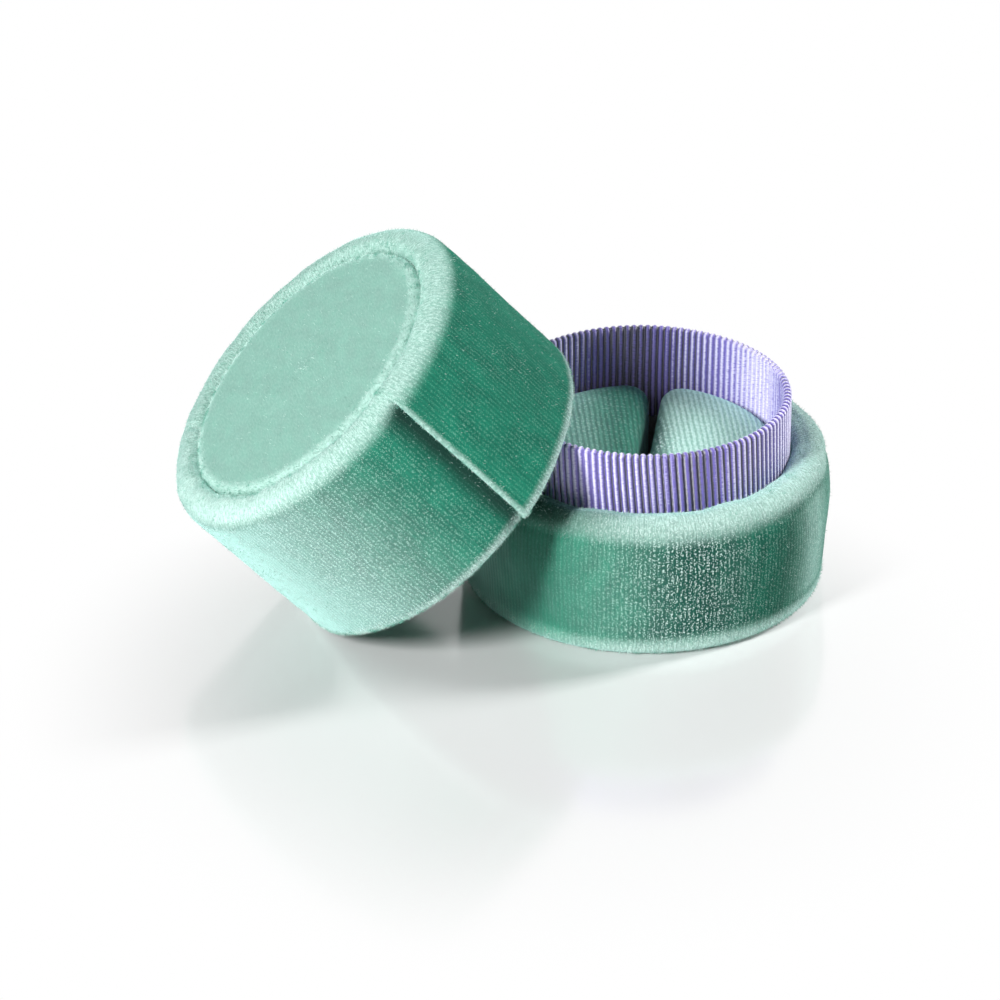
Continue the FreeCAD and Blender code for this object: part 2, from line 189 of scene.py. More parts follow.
def rounded(corners, spacing, closed):
    """Points through corners (radius, height, rounding), about this far apart on runs and arcs."""
    points = []
    count = len(corners)
    for index, (radius, height, rounding) in enumerate(corners):
        here = np.array((radius, height))
        if not closed and index in (0, count - 1):
            points.append([here])
            continue
        back = np.array(corners[index - 1][:2]) - here
        on = np.array(corners[(index + 1) % count][:2]) - here
        back /= np.linalg.norm(back)
        on /= np.linalg.norm(on)
        opening = math.acos(np.clip(back @ on, -1, 1))
        turn = math.pi - opening
        reach = rounding / math.tan(opening / 2)
        centre = here + (back + on) / np.linalg.norm(back + on) * rounding / math.sin(opening / 2)
        steps = max(2, math.ceil(rounding * turn / spacing))
        share = np.linspace(0, 1, steps + 1)[:, None]
        start = here + back * reach - centre
        end = here + on * reach - centre
        arc = centre + (np.sin((1 - share) * turn) * start + np.sin(share * turn) * end) / math.sin(turn)
        points.append(arc if rounding else [here])
    runs = []
    for index, stretch in enumerate(points):
        runs.extend(stretch)
        if not closed and index == count - 1:
            break
        end = np.array(stretch[-1])
        following = np.array(points[(index + 1) % count][0])
        pieces = max(1, math.ceil(np.linalg.norm(following - end) / spacing))
        runs.extend(end + (following - end) * step / pieces for step in range(1, pieces))
    return np.array(runs)


def smooth(low, high, value):
    """A smooth rise from 0 at low to 1 at high."""
    share = np.clip((value - low) / (high - low), 0, 1)
    return share * share * (3 - 2 * share)


def bump_at(value, centre, width):
    """A bell of height 1."""
    return np.exp(-(((value - centre) / width) ** 2))


def ripple(seed, across, along, size, turn=None, waves=28):
    """Smooth unevenness of about this size. Where turn is a radius, across is an angle, and the ripple
    closes once round."""
    draw = np.random.default_rng(seed)
    total = np.zeros(np.broadcast(across, along).shape)
    for _ in range(waves):
        way = draw.uniform(0, 2 * math.pi)
        pitch = 2 * math.pi / size * draw.uniform(0.6, 1.4)
        steep = pitch * math.cos(way)
        if turn is not None:
            steep = round(steep * turn)
        total += np.sin(steep * across + pitch * math.sin(way) * along + draw.uniform(0, 2 * math.pi))
    return total / math.sqrt(waves / 2)


def turn_from(degrees, angles):
    """How far each angle lies from this direction, the shorter way round."""
    return (angles - math.radians(degrees) + math.pi) % (2 * math.pi) - math.pi


def new_object(name, data):
    """A new object in the scene."""
    piece = bpy.data.objects.new(name, data)
    bpy.context.scene.collection.objects.link(piece)
    return piece


def cloth_values(mesh, uv, **values):
    """Stores the cloth's own coordinates in metres on the corners, and named values on the points."""
    layer = mesh.uv_layers.new(name="cloth")
    layer.data.foreach_set("uv", uv.ravel())
    for name, value in values.items():
        layer = mesh.attributes.new(name, "FLOAT", "POINT")
        layer.data.foreach_set("value", np.ascontiguousarray(value, dtype=float).ravel())


def turned(name, half, section, angles, lift, shift=None, flat=False, **values):
    """A mesh turned about an axis. lift moves the cloth outwards, shift round the axis, both as grids of
    angle by section. A closed section makes a ring, an open one a disc closed by a face at each end."""
    round_axis = np.broadcast_to(angles[:, None], lift.shape)
    if shift is not None:
        round_axis = round_axis + shift
    radius = section.points[:, 0] + lift * section.out[:, 0]
    height = section.points[:, 1] + lift * section.out[:, 1]
    points = half.place(radius, round_axis, height)
    points[..., 2] = np.maximum(points[..., 2], 0)
    turns, steps = lift.shape
    row = np.arange(turns)
    step = np.arange(steps if section.closed else steps - 1)
    here, there = np.meshgrid(row, step, indexing="ij")
    corners = ((0, 0), (1, 0), (1, 1), (0, 1))
    quads = np.stack([((here + a) % turns) * steps + (there + b) % steps for a, b in corners], axis=-1)
    faces = quads.reshape(-1, 4).tolist()
    if flat:
        spread = np.stack((radius * np.cos(round_axis), radius * np.sin(round_axis)), axis=-1)
        uv = [spread[(here + a) % turns, (there + b) % steps] for a, b in corners]
    else:
        arc = np.append(angles, angles[0] + 2 * math.pi) * OUTER
        length = np.append(section.length, section.length[-1] + CLOTH_SPACING)
        uv = [np.stack((arc[here + a], length[there + b]), axis=-1) for a, b in corners]
    uv = np.stack(uv, axis=2).reshape(-1, 2)
    if not section.closed:
        first = (row * steps)[::-1]
        last = row * steps + steps - 1
        faces += [first.tolist(), last.tolist()]
        ends = points.reshape(-1, 3)[np.concatenate((first, last))] - half.origin
        uv = np.concatenate((uv, np.stack((ends @ half.across, ends @ half.side), axis=-1)))
    mesh = bpy.data.meshes.new(name)
    mesh.from_pydata(points.reshape(-1, 3).tolist(), [], faces)
    cloth_values(mesh, uv, **{key: np.broadcast_to(value, lift.shape) for key, value in values.items()})
    mesh.polygons.foreach_set("use_smooth", [True] * len(mesh.polygons))
    mesh.update()
    return new_object(name, mesh)


def even_turns(count):
    """Angles once round, evenly spaced."""
    return np.arange(count) * 2 * math.pi / count


# A lapped seam, seen along it: the cloth dips, turns under the folded edge and rolls over it.
# Each point has its distance round the wall and its lift.
SEAM_CURVE = np.array(
    (
        (-7.0, 0.00),
        (-4.0, -0.10),
        (-2.0, -0.42),
        (-0.5, -0.90),
        (0.20, -0.90),
        (-0.02, -0.30),
        (-0.10, 0.15),
        (0.30, 0.52),
        (1.10, 0.50),
        (4.0, 0.32),
        (9.0, 0.12),
        (15.0, 0.00),
    )
) * MM
SEAM_SAMPLES = 96


def along_curve(points, count):
    """Evenly numbered points on a smooth curve through the given ones."""
    padded = np.concatenate((2 * points[:1] - points[1:2], points, 2 * points[-1:] - points[-2:-1]))
    place = np.linspace(0, len(points) - 1, count)
    start = np.minimum(place.astype(int), len(points) - 2)
    t = (place - start)[:, None]
    a, b, c, d = (padded[start + step] for step in range(4))
    square = 2 * a - 5 * b + 4 * c - d
    cube = 3 * b - a - 3 * c + d
    return 0.5 * (2 * b + (c - a) * t + square * t**2 + cube * t**3)


class Seam:
    """Angles round a wrap, closer together at its lapped seam, with the seam's curve at each: how far the
    cloth is lifted and moved round, how much painted highlight the fold's crest gets, and how much
    painted shade the dip gets."""

    def __init__(self, degrees, count):
        curve = along_curve(SEAM_CURVE, SEAM_SAMPLES)
        even = np.sort(curve[:, 0])
        beyond = 2 * math.pi - (even[-1] - even[0]) / OUTER
        others = even[-1] / OUTER + beyond * np.arange(1, count) / count
        self.angles = math.radians(degrees) + np.concatenate((even / OUTER, others))
        rest = np.zeros(count - 1)
        self.lift = np.concatenate((curve[:, 1], rest))
        self.moved = np.concatenate((curve[:, 0] - even, rest)) / OUTER
        # Painted highlight along the fold's crest.
        pale = smooth(0, 0.3 * MM, curve[:, 1]) * smooth(0.75 * MM, 0.15 * MM, curve[:, 0])
        self.crest = np.concatenate((pale, rest))
        # Painted shade in the dip in front of the fold.
        shade = smooth(-4.5 * MM, -0.3 * MM, curve[:, 0]) * (curve[:, 1] < 0) * (curve[:, 0] < 1 * MM)
        self.dip = np.concatenate((shade, rest))


def wrap_relief(seed, section, angles):
    """The unevenness of velvet pulled over wadding: broad swells and finer lumps."""
    broad = ripple(seed, angles[:, None], section.length[None], SWELL_SIZE, OUTER)
    fine = ripple(seed + 1, angles[:, None], section.length[None], LUMP_SIZE, OUTER)
    return SWELL_DEPTH * broad + LUMP_DEPTH * fine


class Nodes:
    """A material's nodes, added one by one."""

    def __init__(self, name):
        self.material = bpy.data.materials.new(name)
        self.material.use_nodes = True
        self.tree = self.material.node_tree
        self.shader = self.tree.nodes["Principled BSDF"]

    def add(self, kind, output=0, settings=None, **inputs):
        """Adds a node, fills its inputs with values or links, and gives one of its outputs.
        An input goes by its name, or by its number after an i."""
        node = self.tree.nodes.new("ShaderNode" + kind)
        for key, value in (settings or {}).items():
            setattr(node, key, value)
        for key, value in inputs.items():
            numbered = key[0] == "i" and key[1:].isdigit()
            place = int(key[1:]) if numbered else key.replace("_", " ")
            self.fill(node.inputs[place], value)
        return node.outputs[output]

    def fill(self, socket, value):
        """Links a socket, or sets its value."""
        if isinstance(value, bpy.types.NodeSocket):
            self.tree.links.new(value, socket)
        else:
            socket.default_value = value

    def math(self, operation, first, second=0.0):
        """Arithmetic on one or two numbers."""
        return self.add("Math", settings={"operation": operation}, i0=first, i1=second)

    def vector(self, operation, first, second=(0, 0, 0)):
        """Arithmetic on one or two vectors."""
        return self.add("VectorMath", settings={"operation": operation}, i0=first, i1=second)

    def blend(self, share, first, second):
        """A colour between two others."""
        settings = {"data_type": "RGBA"}
        return self.add("Mix", output=2, settings=settings, i0=share, i6=first, i7=second)

    def span(self, value, low, high, to_low=0.0, to_high=1.0):
        """A value stretched from one range to another, smoothly, and held at its ends."""
        settings = {"interpolation_type": "SMOOTHSTEP"}
        names = {"Value": value, "From_Min": low, "From_Max": high, "To_Min": to_low, "To_Max": to_high}
        return self.add("MapRange", settings=settings, **names)

    def finish(self, **inputs):
        """Fills the shader's inputs."""
        for key, value in inputs.items():
            self.fill(self.shader.inputs[key.replace("_", " ")], value)
        return self.material


def cloth_place(nodes, across, along):
    """The cloth's own coordinates, counted in these two lengths."""
    place = nodes.add("UVMap", settings={"uv_map": "cloth"})
    return nodes.add("Mapping", Vector=place, Scale=(1 / across, 1 / along, 1))


def cloth_way(nodes):
    """The way across the cloth's rows."""
    return nodes.add("Tangent", settings={"direction_type": "UV_MAP", "uv_map": "cloth"})


def value_of(nodes, name):
    """A value stored on the points."""
    return nodes.add("Attribute", output=2, settings={"attribute_name": name})


def velvet(name, row=PILE_ROW, row_share=1.0, row_gap=0.0, tuft=1.0, grain=1.0, nap=0.0, matted=0.7):
    """Velvet: leaning pile with a pale sheen, in rows of tufts. Where the glint mask is high the tufts
    stand apart in relief, with painted glints on their ends and painted shade between them. Where the
    sheen mask is high the colour is painted pale as sheen, down to the matted share between its strands,
    and less by the row_gap share between its rows; where the shade mask is high it is painted dark as
    shade, and where either is high the pile leans less. tuft is the tufts' size, grain how much they
    show, and nap how far the pile leans across the rows."""
    nodes = Nodes(name)
    glint = value_of(nodes, "glint")
    frost = value_of(nodes, "frost")
    drift = nodes.add("TexNoise", Vector=cloth_place(nodes, 1.6 * MM, 5 * MM), Scale=1.0, Detail=2.0)
    across = nodes.add("SeparateXYZ", Vector=cloth_place(nodes, row, row))
    turns = nodes.math("MULTIPLY", across, 2 * math.pi)
    phase = nodes.math("ADD", turns, nodes.math("MULTIPLY", drift, 2.5))
    rows = nodes.span(nodes.math("SINE", phase), -1.0, 1.0)
    brushing_and_sheen = nodes.add("TexNoise", Vector=cloth_place(nodes, 2.2 * MM, 5 * MM), Scale=1.0, Detail=3.0)
    by_tuft = cloth_place(nodes, tuft * TUFT_WIDE, tuft * TUFT_LONG)
    tufts = nodes.add("TexVoronoi", Vector=by_tuft, Scale=1.0).node
    luck = nodes.add("SeparateColor", Color=tufts.outputs["Color"])
    bead = nodes.span(tufts.outputs["Distance"], 0.70, 0.05)
    bead = nodes.math("MULTIPLY", bead, nodes.span(luck, 0.0, 1.0, 0.25 * grain, grain))
    bead = nodes.math("MULTIPLY", bead, nodes.span(rows, 0.0, 1.0, 0.45, 1.0))
    height = nodes.math("MULTIPLY", bead, nodes.span(glint, 0.0, 1.0, 0.4, 1.2))
    height = nodes.math("ADD", height, nodes.math("MULTIPLY", rows, 0.15 * row_share))
    bump = nodes.add("Bump", Height=height, Strength=0.5, Distance=0.20 * MM)
    # Painted shade between the tufts where glints are painted.
    painted_tuft_shade = nodes.math("MULTIPLY", glint, nodes.math("SUBTRACT", 0.8, bead))
    share = nodes.math("MULTIPLY", brushing_and_sheen, 0.6)
    share = nodes.math("ADD", share, nodes.math("MULTIPLY", rows, 0.12 * row_share))
    share = nodes.math("ADD", share, nodes.math("MULTIPLY", bead, 0.3))
    share = nodes.math("SUBTRACT", share, painted_tuft_shade)
    colour = nodes.blend(nodes.span(share, -0.40, 0.95), GREEN_DEEP, GREEN_LIT)
    # Painted glints on the tufts' ends.
    ends = nodes.math("MULTIPLY", nodes.span(bead, 0.12, 0.50), glint)
    strand = nodes.add("TexNoise", Vector=cloth_place(nodes, 0.22 * MM, 0.8 * MM), Scale=1.0, Detail=2.0)
    strand = nodes.math("ADD", strand, nodes.math("MULTIPLY", bead, 0.4))
    # Painted sheen on the pile, broken up by its strands and rows.
    tips = nodes.math("MULTIPLY", frost, nodes.span(strand, 0.35, 0.80, matted, 1.2))
    tips = nodes.math("MULTIPLY", tips, nodes.span(rows, 0.0, 1.0, 1 - row_gap, 1.0))
    colour = nodes.blend(tips, colour, GREEN_PAINTED_SHEEN)
    colour = nodes.blend(ends, colour, GREEN_PAINTED_GLINT)
    # Painted shade: the colour goes to a near black green.
    crease = value_of(nodes, "crease")
    colour = nodes.blend(crease, colour, GREEN_PAINTED_SHADE)
    upright = nodes.math("SUBTRACT", 1.0, nodes.math("MAXIMUM", frost, crease))
    lean = nodes.vector("MULTIPLY", cloth_way(nodes), nodes.math("MULTIPLY", upright, nap))
    return nodes.finish(
        Base_Color=colour,
        Normal=nodes.vector("NORMALIZE", nodes.vector("ADD", bump, lean)),
        Roughness=0.75,
        Specular_IOR_Level=0.10,
        Sheen_Weight=0.7,
        Sheen_Roughness=0.45,
        Sheen_Tint=(0.60, 1.0, 0.93, 1),
    )


def grosgrain(name):
    """Ribbon: painted shade in the gaps between the ribs and a painted highlight along each crest, and
    silky threads that lie round each rib and gloss in a line along it."""
    nodes = Nodes(name)
    crest = value_of(nodes, "crest")
    thread = nodes.add("TexNoise", Vector=cloth_place(nodes, 0.8 * MM, 0.15 * MM), Scale=1.0, Detail=2.0)
    uneven = nodes.math("MULTIPLY", nodes.math("SUBTRACT", thread, 0.5), 0.55)
    share = nodes.math("ADD", crest, uneven)
    # Painted shade in the gaps, the ribbon's own lilac, and a painted highlight on the crests.
    colour = nodes.blend(nodes.span(share, 0.35, 0.65), LILAC_PAINTED_SHADE, LILAC_BODY)
    colour = nodes.blend(nodes.span(share, 0.76, 1.02), colour, LILAC_PAINTED_HIGHLIGHT)
    bump = nodes.add("Bump", Height=thread, Strength=0.5, Distance=0.05 * MM)
    return nodes.finish(
        Base_Color=colour,
        Normal=bump,
        Tangent=cloth_way(nodes),
        Anisotropic=1.0,
        Anisotropic_Rotation=0.25,
        Roughness=0.55,
        IOR=2.3,
        Specular_IOR_Level=0.5,
        Sheen_Weight=0.7,
        Sheen_Roughness=0.40,
        Sheen_Tint=(0.95, 0.95, 1.0, 1),
    )


def fibres(name, dark, light, size, rough, stretch=1.0, depth=0.1 * MM):
    """A matted or pressed material: fibres at this size, in the object's own place."""
    nodes = Nodes(name)
    place = nodes.add("TexCoord", output=3)
    place = nodes.add("Mapping", Vector=place, Scale=(1 / size, 1 / size, stretch / size))
    strands = nodes.add("TexNoise", Vector=place, Scale=1.0, Detail=5.0, Distortion=1.2)
    flecks = nodes.add("TexVoronoi", Vector=place, Scale=0.6)
    share = nodes.math("ADD", strands, nodes.math("MULTIPLY", flecks, 0.35))
    colour = nodes.blend(nodes.span(share, 0.35, 0.95), dark, light)
    bump = nodes.add("Bump", Height=strands, Strength=0.6, Distance=depth)
    return nodes.finish(Base_Color=colour, Normal=bump, Roughness=rough, Specular_IOR_Level=0.2)


def satin(name):
    """Lining cloth: a fine close weave with a soft gloss."""
    nodes = Nodes(name)
    place = cloth_place(nodes, 0.25 * MM, 0.25 * MM)
    weave = nodes.add("TexChecker", output=1, Vector=place, Scale=1.0)
    slub = nodes.add("TexNoise", Vector=cloth_place(nodes, 0.5 * MM, 6 * MM), Scale=1.0, Detail=3.0)
    share = nodes.math("ADD", nodes.math("MULTIPLY", weave, 0.2), nodes.math("MULTIPLY", slub, 0.8))
    colour = nodes.blend(share, LINING_DARK, LINING_LIGHT)
    bump = nodes.add("Bump", Height=share, Strength=0.4, Distance=0.05 * MM)
    return nodes.finish(Base_Color=colour, Normal=bump, Roughness=0.45, Sheen_Weight=0.4)


def pile_ends(name):
    """The pale, half lit ends of single fibres."""
    nodes = Nodes(name)
    place = nodes.add("TexCoord", output=3)
    strands = nodes.add("TexNoise", Vector=place, Scale=700.0, Detail=1.0)
    colour = nodes.blend(nodes.span(strands, 0.35, 0.65), FIBRE_DARK, FIBRE_LIGHT)
    return nodes.finish(Base_Color=colour, Roughness=0.7, Sheen_Weight=0.6, Specular_IOR_Level=0.2)


def coat(piece, material):
    """Gives a piece this one material."""
    piece.data.materials.clear()
    piece.data.materials.append(material)


def dress(piece, material, body, slot, *replaced):
    """Gives a piece its material and its body, and hides the nodes that it stands for. The slot is not
    used.
    """
    coat(piece, material)
    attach(piece, body)
    if replaced:
        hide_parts(*replaced)
    return piece


# The base's wrap, in degrees round it: the seam, and the middles of a zone of painted glints, of the
# lid's painted shadow, of painted shade away from the left lamp, and of painted sheen towards the right
# lamp.
BASE_SEAM = 60
PAINTED_GLINT_ANGLE = 272
LID_SHADOW_ANGLE = 215
SIDE_SHADE_ANGLE = 296
PAINTED_SHEEN_ANGLE = 322

# How far the velvet goes down beside the collar.
TUCK_DEPTH = 5.5 * MM


def base_velvet():
    """The base's velvet: under the foot, up the wall, over a rolled rim and down beside the collar."""
    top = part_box("base_velvet_wrap")[1][2]
    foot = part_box("base_foot_panel")[1][2]
    collar = BASE.measure("collar_ribbon")[1]
    tuck = BASE.measure("base_velvet_wrap")[0]
    tuck_low = top - TUCK_DEPTH
    inside = OUTER - WRAP_THICK
    section = Section(
        (
            (tuck, 0, 0.3 * MM),
            (OUTER, 0, 1.6 * MM),
            (OUTER, top, 2.4 * MM),
            (collar, top, 2.3 * MM),
            (collar, tuck_low, 0),
            (collar + CLOTH_LAYER, tuck_low, 0),
            (collar + CLOTH_LAYER, top - 1.4 * MM, 0.6 * MM),
            (inside, top - 1.4 * MM, 1.2 * MM),
            (inside, foot, 0),
            (tuck, foot, 0),
        ),
        CLOTH_SPACING,
    )
    seam = Seam(BASE_SEAM, WRAP_TURNS)
    angles = seam.angles[:, None]
    radius, height = section.points.T
    wall = smooth(1.6 * MM, 4 * MM, height) * smooth(top - 1.5 * MM, top - 4 * MM, height)
    wall = wall * (radius > OUTER - 0.5 * MM)
    rim = smooth(top - 5 * MM, top, height) * (section.out @ (0.3, 0.95) > 0.1)
    visible = np.maximum(wall, rim)
    puff = 0.70 * MM * bump_at(height, 0.6 * top, 7 * MM) * (section.out[:, 0] > 0)
    lift = visible * (wrap_relief(3, section, seam.angles) + puff)
    lift = lift + rim * 0.06 * MM * ripple(8, angles, 0 * height, 8 * MM, OUTER)
    lift = lift + wall * seam.lift[:, None]
    roll = smooth(top - 4.0 * MM, top - 0.8 * MM, height) * (section.out[:, 1] > -0.2)
    roll = roll * (radius > collar + 0.2 * MM)
    foot_edge = smooth(3.6 * MM, 1.0 * MM, height) * (radius > OUTER - 1.2 * MM)
    # A zone of painted glints on the wall.
    painted_glint_zone = bump_at(angles, math.radians(PAINTED_GLINT_ANGLE), 0.38) * wall
    # The lid's painted shadow on the base: painted shade, with less painted sheen, glints and loose
    # fibres.
    painted_lid_shadow = bump_at(angles, math.radians(LID_SHADOW_ANGLE), 0.43)
    # Painted shade on the side away from the left lamp, which also gets less painted sheen and glints.
    plain = bump_at(angles, math.radians(SIDE_SHADE_ANGLE), 0.22)
    # Painted sheen on the rim, the foot's edge and the seam's crest, and over the rest of the wall.
    frost = np.maximum(0.82 * roll + 0.9 * foot_edge, 0.6 * wall * seam.crest[:, None])
    frost = np.maximum(frost, 0.18 * wall * (1 - painted_glint_zone) * (1 - plain)) * (1 - 0.8 * painted_lid_shadow)
    # Painted sheen on the side towards the right lamp.
    frost = np.maximum(frost, 0.5 * wall * bump_at(angles, math.radians(PAINTED_SHEEN_ANGLE), 0.22))
    # Painted shade: in the lid's shadow, in the seam's dip and on the side away from the left lamp.
    crease = painted_lid_shadow * np.maximum(0.45 * wall, 0.8 * roll)
    crease = np.maximum(crease, 0.9 * wall * seam.dip[:, None])
    crease = np.maximum(crease, 0.25 * plain * wall)
    fuzz = 0.5 * roll + foot_edge + 0.06 * wall * (1 - painted_lid_shadow)
    shift = wall * seam.moved[:, None]
    # Painted glints on the wall, the rim and the foot's edge.
    glint = 0.25 * (1 - 0.5 * plain) + 0.65 * painted_glint_zone + 0.30 * roll + 0.30 * foot_edge
    glint = glint * (1 - 0.9 * painted_lid_shadow)
    values = {"frost": frost, "crease": crease, "fuzz": fuzz, "glint": glint}
    return turned("base_velvet", BASE, section, seam.angles, lift, shift, **values)


# The lid's wrap, in degrees round it: the seam, the gathers at the rim, the low side that the photograph
# shows, and where the painted sheen and painted glints round the wall's lit side begin and are full.
LID_SEAM = -67.5
GATHER_ANGLES = (24, -26, 150, -130)
LOW_SIDE = -150
LID_SHEEN_ANGLES = (-80, -125)
LID_GLINT_ANGLES = (-60, -130)


def lid_velvet():
    """The lid's velvet: in at the mouth, up the seamed wall, over the rim and into the groove."""
    mouth_in, _, _, top = LID.measure("lid_velvet_wrap")
    panel = LID.measure("lid_panel_velvet")[1]
    board = LID.measure("lid_tube")[2]
    inside = OUTER - WRAP_THICK
    groove = panel + 0.15 * MM
    groove_low = LID.measure("lid_panel_card")[2]
    section = Section(
        (
            (mouth_in, 0, 0.4 * MM),
            (OUTER, 0, 0.9 * MM),
            (OUTER, top, 3.0 * MM),
            (groove, top, 1.5 * MM),
            (groove, groove_low, 0),
            (groove + CLOTH_LAYER, groove_low, 0),
            (groove + CLOTH_LAYER, top - 1.3 * MM, 0),
            (inside, top - 1.3 * MM, 1.6 * MM),
            (inside, board, 0),
            (mouth_in, board, 0),
        ),
        CLOTH_SPACING,
    )
    seam = Seam(LID_SEAM, WRAP_TURNS)
    angles = seam.angles[:, None]
    radius, height = section.points.T
    wall = smooth(-0.2 * MM, 0.6 * MM, height) * smooth(top - 0.6 * MM, top - 2.8 * MM, height)
    wall = wall * (radius > OUTER - 2.5 * MM) * (section.out[:, 0] > 0.1)
    rim = smooth(top - 4 * MM, top, height) * (section.out @ (0.3, 0.95) > 0.1)
    visible = np.maximum(wall, rim)
    lift = visible * wrap_relief(21, section, seam.angles)
    lift = lift + rim * 0.06 * MM * ripple(26, angles, 0 * height, 7 * MM, OUTER)
    for gather in GATHER_ANGLES:
        near = bump_at(turn_from(gather, angles), 0, 0.035)
        lift = lift - 0.35 * MM * near * rim * smooth(OUTER - 1.5 * MM, OUTER - 3.5 * MM, radius)
    lift = lift + wall * seam.lift[:, None]
    roll = smooth(top - 3.3 * MM, top - 0.6 * MM, height) * (section.out[:, 1] > -0.2)
    mouth_edge = smooth(1.8 * MM, 0.5 * MM, height) * (radius > OUTER - 1.2 * MM)
    low_side = bump_at(turn_from(LOW_SIDE, angles), 0, 0.9)
    # Painted sheen on the rim, more on the low side, on the mouth's edge and on the seam's crest.
    frost = (0.70 + 0.30 * low_side) * roll + 0.9 * mouth_edge
    frost = np.maximum(frost, 0.7 * wall * seam.crest[:, None])
    turn = turn_from(0, angles)
    # Painted sheen that grows round the wall's lit side.
    brushing_and_sheen = smooth(*np.radians(LID_SHEEN_ANGLES), turn)
    frost = np.maximum(frost, 0.36 * wall * brushing_and_sheen)
    # Painted shade in the seam's dip.
    crease = 0.85 * wall * seam.dip[:, None]
    by_groove = bump_at(radius, groove + 0.7 * MM, 0.5 * MM) * rim
    fuzz = np.maximum(0.25 * roll + mouth_edge + 0.05 * wall, 0.6 * wall * seam.crest[:, None])
    fuzz = fuzz + 0.8 * by_groove + 1.5 * mouth_edge * low_side
    shift = wall * seam.moved[:, None]
    # Painted glints that grow round the wall's lit side, and on the rim and the mouth's edge.
    painted_sparkle = smooth(*np.radians(LID_GLINT_ANGLES), turn)
    glint = 0.12 + 0.02 * ripple(27, angles, section.length[None], 12 * MM, OUTER)
    glint = glint + 0.45 * painted_sparkle * wall + 0.15 * roll + 0.7 * mouth_edge
    values = {"frost": frost, "crease": crease, "fuzz": fuzz, "glint": glint}
    return turned("lid_velvet", LID, section, seam.angles, lift, shift, **values)


def flat_place(radius, angles):
    """Two grids, of x and of y, for points on a disc."""
    return radius * np.cos(angles)[:, None], radius * np.sin(angles)[:, None]


def lid_panel():
    """The padded velvet panel let into the lid's top."""
    _, edge, low, high = LID.measure("lid_panel_velvet")
    section = Section(
        (
            (DISC_CORE, low, 0),
            (edge, low, 0.2 * MM),
            (edge, high, 1.2 * MM),
            (DISC_CORE, high, 0),
        ),
        CLOTH_SPACING,
        closed=False,
    )
    angles = even_turns(PANEL_TURNS)
    radius, height = section.points.T
    face = smooth(low, high, height)
    x, y = flat_place(radius, angles)
    crown = 0.30 * MM * (1 - (radius / edge) ** 2)
    lift = face * (crown + 0.05 * MM * ripple(40, x, y, 9 * MM) + 0.02 * MM * ripple(41, x, y, 3 * MM))
    brim = smooth(edge - 2.0 * MM, edge - 0.3 * MM, radius) * face
    # Painted sheen over the whole panel, strongest towards its rim.
    frost = 0.42 + 0.38 * brim
    values = {"frost": frost, "crease": 0 * frost, "glint": 0.05 + 0 * frost, "fuzz": 0.01 + brim}
    return turned("lid_panel", LID, section, angles, lift, flat=True, **values)


# Painted light on the ribbon, or painted shade where negative: degrees round, spread in radians,
# and how much.
PAINTED_LIGHT_INSIDE = ((22, 0.50, 0.85), (80, 0.33, -0.45))
PAINTED_LIGHT_OUTSIDE = ((230, 0.20, 0.5), (275, 0.20, -0.35), (322, 0.25, 0.55))


def painted_light_at(angles, places):
    """How much painted light, or painted shade where negative, the ribbon gets at each angle, from -1 to
    1.
    """
    total = np.zeros(len(angles))
    for degrees, spread, amount in places:
        total += amount * bump_at(angles, math.radians(degrees), spread)
    return total


def collar_ribbon():
    """The ribbed ribbon, folded over the card's top edge."""
    inside, outside, low, high = BASE.measure("collar_ribbon")
    card_in, card_out, _, card_top = BASE.measure("collar_tube")
    fold = 0.48 * (outside - inside)
    section = Section(
        (
            (outside, low, 0.1 * MM),
            (outside, high, fold),
            (inside, high, fold),
            (inside, low, 0.1 * MM),
            (card_in, low, 0),
            (card_in, card_top, 0),
            (card_out, card_top, 0),
            (card_out, low, 0),
        ),
        RIBBON_SPACING,
    )
    angles = even_turns(RIB_COUNT * RIB_STEPS)
    radius, height = section.points.T
    slack = 0.01 * MM
    on_card = (radius > card_in - slack) & (radius < card_out + slack) & (height < card_top + slack)
    shown = ~on_card
    halfway = (inside + outside) / 2
    lean = RIB_LEAN * (high - height) * (radius > halfway)
    wobble = 0.25 * ripple(50, angles[:, None], section.length[None], 22 * MM, OUTER, waves=16)
    phase = RIB_COUNT * (angles[:, None] - lean) + wobble
    crest = np.abs(np.sin(phase / 2)) ** 0.9
    lift = (crest - 0.7) * RIB_DEPTH * shown
    # Painted light and painted shade laid onto the ribs' crest values, inside and outside.
    paler_inside = painted_light_at(angles, PAINTED_LIGHT_INSIDE)[:, None]
    paler_outside = painted_light_at(angles, PAINTED_LIGHT_OUTSIDE)[:, None]
    paler = np.where(radius < halfway, paler_inside, paler_outside)
    tone = np.where(paler > 0, crest + paler * (1 - crest), crest * (1 + paler))
    return turned("ribbon", BASE, section, angles, lift, crest=tone * shown)


